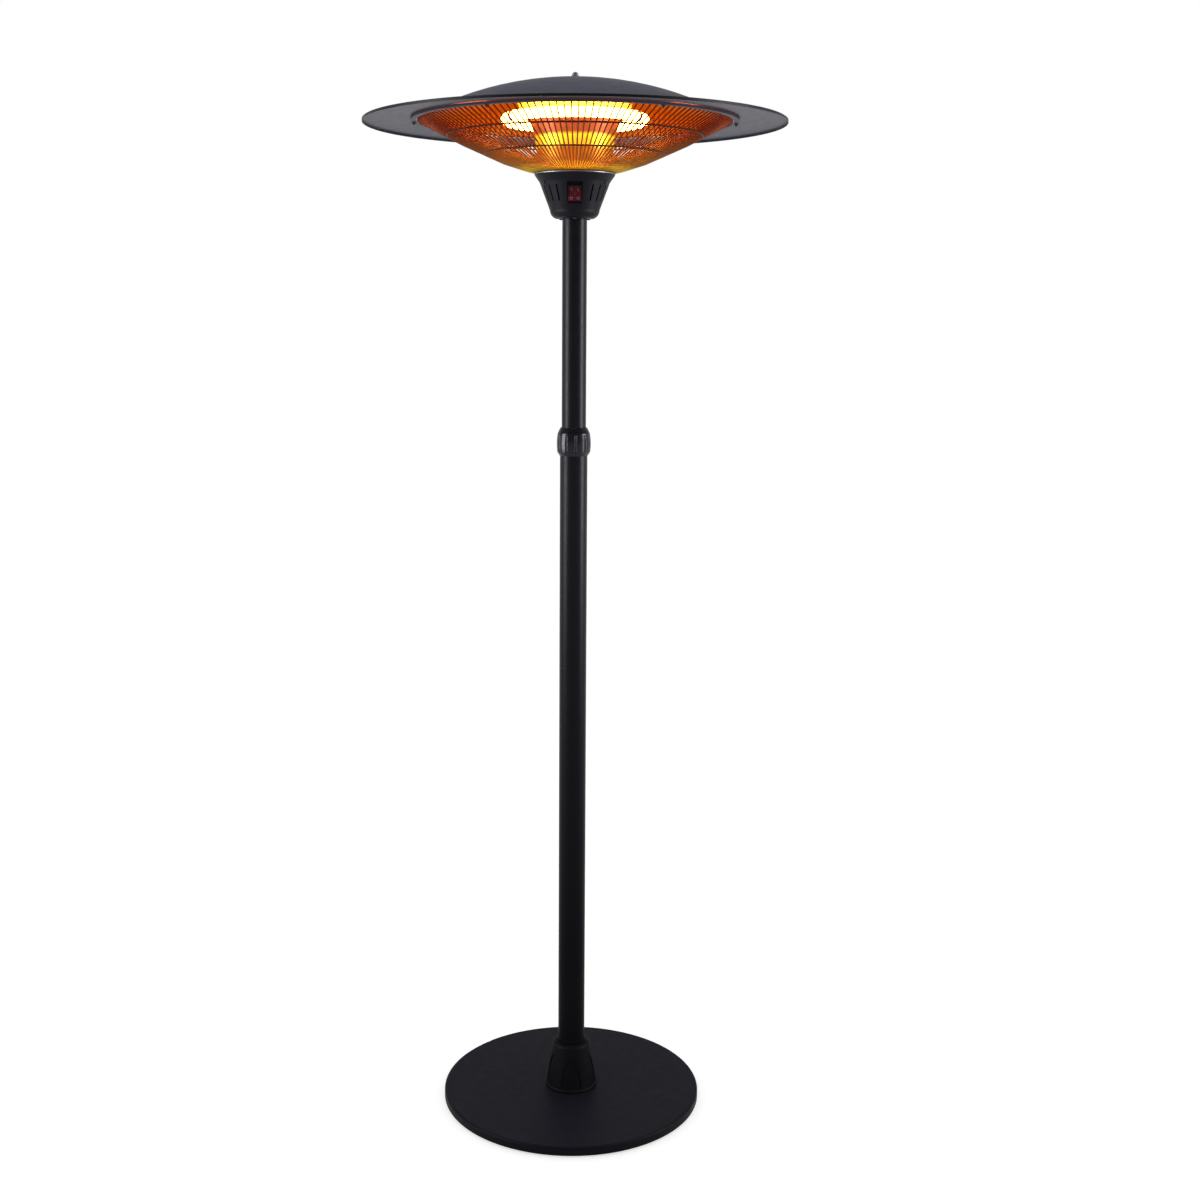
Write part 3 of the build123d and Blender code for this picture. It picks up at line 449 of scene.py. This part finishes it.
# The quartz tube glows orange, a little unevenly, and burns out to white.
lamp_glow = Surface("lamp_glow", Roughness=0.2, Emission_Strength=26.0)
glow = lamp_glow.noise(260.0, detail=2.0)
lamp_glow.colour(
    glow,
    (NOISE_LOW, (1.0, 0.5, 0.12, 1)),
    (NOISE_HIGH, (1.0, 0.6, 0.18, 1)),
)
lamp_glow.colour(
    glow,
    (NOISE_LOW, (1.0, 0.5, 0.09, 1)),
    (NOISE_HIGH, (1.0, 0.6, 0.14, 1)),
    socket="Emission Color",
)

# The red rockers glow faintly, as if lit from behind.
rocker_red = Surface(
    "rocker_red",
    Roughness=0.3,
    IOR=1.49,
    Specular_IOR_Level=0.2,
    Emission_Strength=0.03,
)
tinge = rocker_red.noise(140.0, detail=3.0)
rocker_red.colour(
    tinge,
    (0.35, linear(66, 18, 34)),
    (0.65, linear(88, 26, 46)),
)
rocker_red.colour(
    tinge,
    (0.35, linear(150, 30, 60)),
    (0.65, linear(200, 50, 80)),
    socket="Emission Color",
)
marking = paint(
    "marking",
    linear(172, 150, 156),
    linear(190, 168, 174),
    rough=(0.5, 0.6),
    grain=900.0,
    depth=0.00003,
)

SURFACES = {
    powder_coat: ["base_cover", "base_underplate"],
    pole_paint: ["lower_pole", "upper_pole"],
    shade_paint: ["shade"],
    clamp_paint: ["rim_clamp", "rim_nuts"],
    housing_plastic: [
        "housing_shell",
        "housing_lid",
        "switch_body",
        "cable_gland",
        "gland_cap",
        "gland_nut",
        "tilt_switch",
    ],
    collar_plastic: ["twist_collar"],
    boot_plastic: ["foot_boot"],
    sleeve_plastic: ["clamp_sleeve", "pole_guide"],
    rubber: ["base_pads", "housing_seal"],
    silicone: ["lead_grommets"],
    cast_iron: ["base_ballast"],
    ceramic: ["lamp_caps"],
    cream_plastic: ["terminal_block"],
    lead_sleeve: ["lamp_leads", "switch_leads"],
    black_screw: ["housing_screws", "flange_screws", "pole_screws"],
    zinc_steel: [
        "foot_socket",
        "socket_bolts",
        "underplate_screws",
        "head_socket",
        "socket_grub_screws",
        "lamp_clips",
        "tie_rod",
        "rod_nut",
        "dome_spacer",
        "top_washer",
        "rocker_pin",
    ],
    satin_steel: ["housing_trim", "top_nut"],
    brass: ["switch_terminals"],
    lamp_lit_wire: ["wire_guard"],
    dish_metal: ["reflector"],
    column_metal: ["centre_column"],
    lamp_glow: ["lamp_tube", "lamp_filament"],
    rocker_red: ["rocker_left", "rocker_right"],
}

for surface, names in SURFACES.items():
    for name in names:
        for slot in nodes[name].material_slots:
            slot.material = surface.material


# ================================================================== pieces
GUARD_BEND = 0.02
BEND_STEPS = 4
WIRE_SIDES = 8
RING_SEGMENTS = 240
RING_SIDES = 10
MARK_RADIUS = 0.00032
MARK_SIDES = 10
STROKE_FOOT = 0.0058
STROKE_STEP = 0.001
STROKE_POINTS = 6
CIRCLE_MIDDLE = -0.0085
CIRCLE_RADIUS = 0.0024
CIRCLE_SEGMENTS = 48


def piece(name, builder, body, surface):
    """Turns a bmesh into a shown piece that rides on a body."""
    bmesh.ops.recalc_face_normals(builder, faces=builder.faces)
    mesh = bpy.data.meshes.new(name)
    builder.to_mesh(mesh)
    builder.free()
    mesh.shade_smooth()
    made = bpy.data.objects.new(name, mesh)
    bpy.context.scene.collection.objects.link(made)
    mesh.materials.append(surface.material)
    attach(made, body)
    return made


def rounded(points, bend, steps):
    """The same run of (radius, height) points with each corner rounded to a bend radius."""
    route = [Vector(points[0])]
    for before, corner, after in zip(points, points[1:], points[2:]):
        corner = Vector(corner)
        back = (Vector(before) - corner).normalized()
        ahead = (Vector(after) - corner).normalized()
        half = back.angle(ahead) / 2
        reach = bend * cos(half) / sin(half)
        start = corner + back * reach
        stop = corner + ahead * reach
        for step in range(steps + 1):
            share = step / steps
            route.append(
                start * (1 - share) ** 2 + corner * 2 * share * (1 - share) + stop * share**2
            )
    route.append(Vector(points[-1]))
    return route


def tube_along(builder, centres, frames, radius, sides, closed=False):
    """A round tube through the centres.  Each frame holds the two directions across the tube."""
    loops = []
    for centre, (across, up) in zip(centres, frames):
        loop = []
        for side in range(sides):
            turn = tau * side / sides
            loop.append(builder.verts.new(centre + radius * (cos(turn) * across + sin(turn) * up)))
        loops.append(loop)
    pairs = list(zip(loops, loops[1:]))
    if closed:
        pairs.append((loops[-1], loops[0]))
    else:
        builder.faces.new(loops[0])
        builder.faces.new(loops[-1])
    for first, second in pairs:
        for side in range(sides):
            following = (side + 1) % sides
            builder.faces.new((first[side], first[following], second[following], second[side]))


def hoop(builder, radius, height):
    """A closed ring of round wire about the Z axis."""
    centres = []
    frames = []
    for step in range(RING_SEGMENTS):
        turn = tau * step / RING_SEGMENTS
        outward = Vector((cos(turn), sin(turn), 0))
        centres.append(outward * radius + Vector((0, 0, height)))
        frames.append((outward, Vector((0, 0, 1))))
    tube_along(builder, centres, frames, RING_RADIUS, RING_SIDES, closed=True)


def guard_height(radius):
    """Height of the guard's wires at a radius."""
    for (inner, low), (outer, high) in zip(GUARD_ROUTE, GUARD_ROUTE[1:]):
        if inner <= radius <= outer:
            return low + (high - low) * (radius - inner) / (outer - inner)


def guard_basket():
    """The guard's radial wires, in round wire."""
    builder = bmesh.new()
    route = rounded(GUARD_ROUTE, GUARD_BEND, BEND_STEPS)
    for number in range(GUARD_WIRES):
        turn = tau * (number + 0.5) / GUARD_WIRES
        outward = Vector((cos(turn), sin(turn), 0))
        beside = Vector((-sin(turn), cos(turn), 0))
        centres = [outward * point.x + Vector((0, 0, point.y)) for point in route]
        frames = []
        for index in range(len(route)):
            ahead = route[min(index + 1, len(route) - 1)] - route[max(index - 1, 0)]
            ahead.normalize()
            frames.append((beside, outward * -ahead.y + Vector((0, 0, ahead.x))))
        tube_along(builder, centres, frames, WIRE_RADIUS, WIRE_SIDES)
    return piece("guard_basket", builder, "mast", lamp_lit_wire)


def guard_hoops(name, surface, radii):
    """The rings that the guard's wires are welded to."""
    builder = bmesh.new()
    for radius in radii:
        hoop(builder, radius, guard_height(radius))
    piece(name, builder, "mast", surface)


def rocker_point(across, along):
    """A point on a rocker's hollow face: across is X, and along runs up the face from the pin."""
    middle, hollow = ROCKER_FACE
    depth = middle - hollow + (hollow**2 - along**2) ** 0.5
    return ROCKER_PIN + Vector((across, 0, 0)) - ROCKER_OUT * depth + ROCKER_UP * along


def rocker_marks(body, across):
    """The raised stroke and ring at a rocker's on and off ends."""
    builder = bmesh.new()
    sideways = Vector((1, 0, 0))
    stroke = []
    for step in range(STROKE_POINTS):
        stroke.append(rocker_point(across, STROKE_FOOT + STROKE_STEP * step))
    tube_along(builder, stroke, [(sideways, ROCKER_OUT)] * len(stroke), MARK_RADIUS, MARK_SIDES)
    circle = []
    frames = []
    for step in range(CIRCLE_SEGMENTS):
        turn = tau * step / CIRCLE_SEGMENTS
        beside = CIRCLE_RADIUS * cos(turn)
        above = CIRCLE_RADIUS * sin(turn)
        circle.append(rocker_point(across + beside, CIRCLE_MIDDLE + above))
        frames.append((sideways * cos(turn) + ROCKER_UP * sin(turn), ROCKER_OUT))
    tube_along(builder, circle, frames, MARK_RADIUS, MARK_SIDES, closed=True)
    piece(body + "_marks", builder, body, marking)


guard_hoops("guard_edge", bright_steel, GUARD_RINGS[-1:])
guard_hoops("guard_rings", shaded_ring_wire, GUARD_RINGS[:-1])
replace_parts(guard_basket(), "wire_guard")
rocker_marks("rocker_left", -ROCKER_MIDDLE)
rocker_marks("rocker_right", ROCKER_MIDDLE)


# ================================================================== stage
FLOOR_REACH = 60.0
FLOOR_GLOW = 0.62
FLOOR_COLOUR = (0.65, 0.65, 0.65, 1)
WORLD_LEVEL = 0.65
# Levels of the surround in reflections of the front and of the top, and the values of the
# direction's Y and Z that they fade over.
DARK_FRONT = 0.25
FRONT_FADE = (-0.2, 0.4)
DARK_TOP = 0.4
TOP_FADE = (0.1, 0.5)
# Each side lamp's place, width, height and power.
SIDE_LAMPS = {
    "left": ((-3.05, -0.95, 1.73), 1.5, 2.4, 170),
    "right": ((3.15, -0.65, 1.73), 1.4, 2.4, 170),
}
SIDE_TARGET = (0, 0, 1.2)
TOP_PLACE = (0.0, 0.4, 4.28)
TOP_TARGET = (0, 0, 1.08)
TOP_SIZE = 2.4
TOP_POWER = 10


def blend(tree, operation, first, second):
    """One arithmetic node on two values, the second of which may be a plain number."""
    made = tree.nodes.new("ShaderNodeMath")
    made.operation = operation
    tree.links.new(first, made.inputs[0])
    if isinstance(second, float):
        made.inputs[1].default_value = second
    else:
        tree.links.new(second, made.inputs[1])
    return made.outputs["Value"]


def make_world():
    """A white surround for the eye and a softer one for the light that it gives.  In reflections
    it is white behind the object, and darker above it and on the switches' side."""
    world = bpy.data.worlds.new("studio")
    bpy.context.scene.world = world
    world.use_nodes = True
    tree = world.node_tree
    rays = tree.nodes.new("ShaderNodeLightPath").outputs
    place = tree.nodes.new("ShaderNodeTexCoord").outputs["Generated"]
    direction = tree.nodes.new("ShaderNodeSeparateXYZ")
    tree.links.new(place, direction.inputs["Vector"])
    front = fade(tree, direction.outputs["Y"], *FRONT_FADE, DARK_FRONT, 1.0)
    top = fade(tree, direction.outputs["Z"], *TOP_FADE, 1.0, DARK_TOP)
    mirrored = blend(tree, "MULTIPLY", blend(tree, "MULTIPLY", front, top), rays["Is Glossy Ray"])
    plain = blend(tree, "MAXIMUM", rays["Is Camera Ray"], rays["Is Transmission Ray"])
    others = fade(tree, rays["Is Glossy Ray"], 0.0, 1.0, WORLD_LEVEL, 0.0)
    level = blend(tree, "MAXIMUM", plain, blend(tree, "MAXIMUM", mirrored, others))
    tree.nodes["Background"].inputs["Color"].default_value = (1, 1, 1, 1)
    tree.links.new(level, tree.nodes["Background"].inputs["Strength"])


def make_floor():
    """A wide pale floor that keeps the object's shadow."""
    builder = bmesh.new()
    bmesh.ops.create_grid(builder, x_segments=2, y_segments=2, size=FLOOR_REACH)
    mesh = bpy.data.meshes.new("floor")
    builder.to_mesh(mesh)
    builder.free()
    floor = bpy.data.objects.new("floor", mesh)
    bpy.context.scene.collection.objects.link(floor)
    material = bpy.data.materials.new("floor")
    material.use_nodes = True
    tree = material.node_tree
    shader = tree.nodes["Principled BSDF"]
    shader.inputs["Base Color"].default_value = FLOOR_COLOUR
    shader.inputs["Roughness"].default_value = 0.9
    shader.inputs["Specular IOR Level"].default_value = 0.0
    shader.inputs["Emission Color"].default_value = (1, 1, 1, 1)
    rays = tree.nodes.new("ShaderNodeLightPath").outputs
    seen = blend(tree, "MAXIMUM", rays["Is Camera Ray"], rays["Is Glossy Ray"])
    seen = blend(tree, "MAXIMUM", seen, rays["Is Transmission Ray"])
    tree.links.new(blend(tree, "MULTIPLY", seen, FLOOR_GLOW), shader.inputs["Emission Strength"])
    mesh.materials.append(material)


def soft_light(name, place, target, width, height, power, diffuse=True):
    """A large rectangular lamp that faces a target.  Without diffuse it shows in reflections
    only."""
    data = bpy.data.lights.new(name, "AREA")
    data.shape = "RECTANGLE"
    data.size = width
    data.size_y = height
    data.energy = power
    lamp = bpy.data.objects.new(name, data)
    bpy.context.scene.collection.objects.link(lamp)
    lamp.location = place
    lamp.rotation_euler = (Vector(target) - Vector(place)).to_track_quat("-Z", "Y").to_euler()
    lamp.visible_diffuse = diffuse


def make_camera():
    """The photograph's camera, as its perspective was measured."""
    data = bpy.data.cameras.new("camera")
    data.sensor_width = SENSOR
    data.lens = FOCAL_PIXELS / PHOTO_SIZE * SENSOR
    data.shift_x = (PHOTO_SIZE / 2 - AXIS_X) / PHOTO_SIZE
    data.shift_y = (AXIS_Y - PHOTO_SIZE / 2) / PHOTO_SIZE
    camera = bpy.data.objects.new("camera", data)
    bpy.context.scene.collection.objects.link(camera)
    tilt = Euler((radians(90 - CAMERA_PITCH), 0, 0)).to_matrix()
    camera.rotation_euler = (tilt @ Matrix.Rotation(radians(CAMERA_ROLL), 3, "Z")).to_euler()
    camera.location = (0, -CAMERA_DISTANCE, CAMERA_HEIGHT)
    bpy.context.scene.camera = camera


make_world()
make_floor()
make_camera()
for name, (place, width, height, power) in SIDE_LAMPS.items():
    soft_light(name, place, SIDE_TARGET, width, height, power, diffuse=False)
soft_light("top", TOP_PLACE, TOP_TARGET, TOP_SIZE, TOP_SIZE, TOP_POWER)
bpy.context.scene.view_settings.view_transform = "Standard"
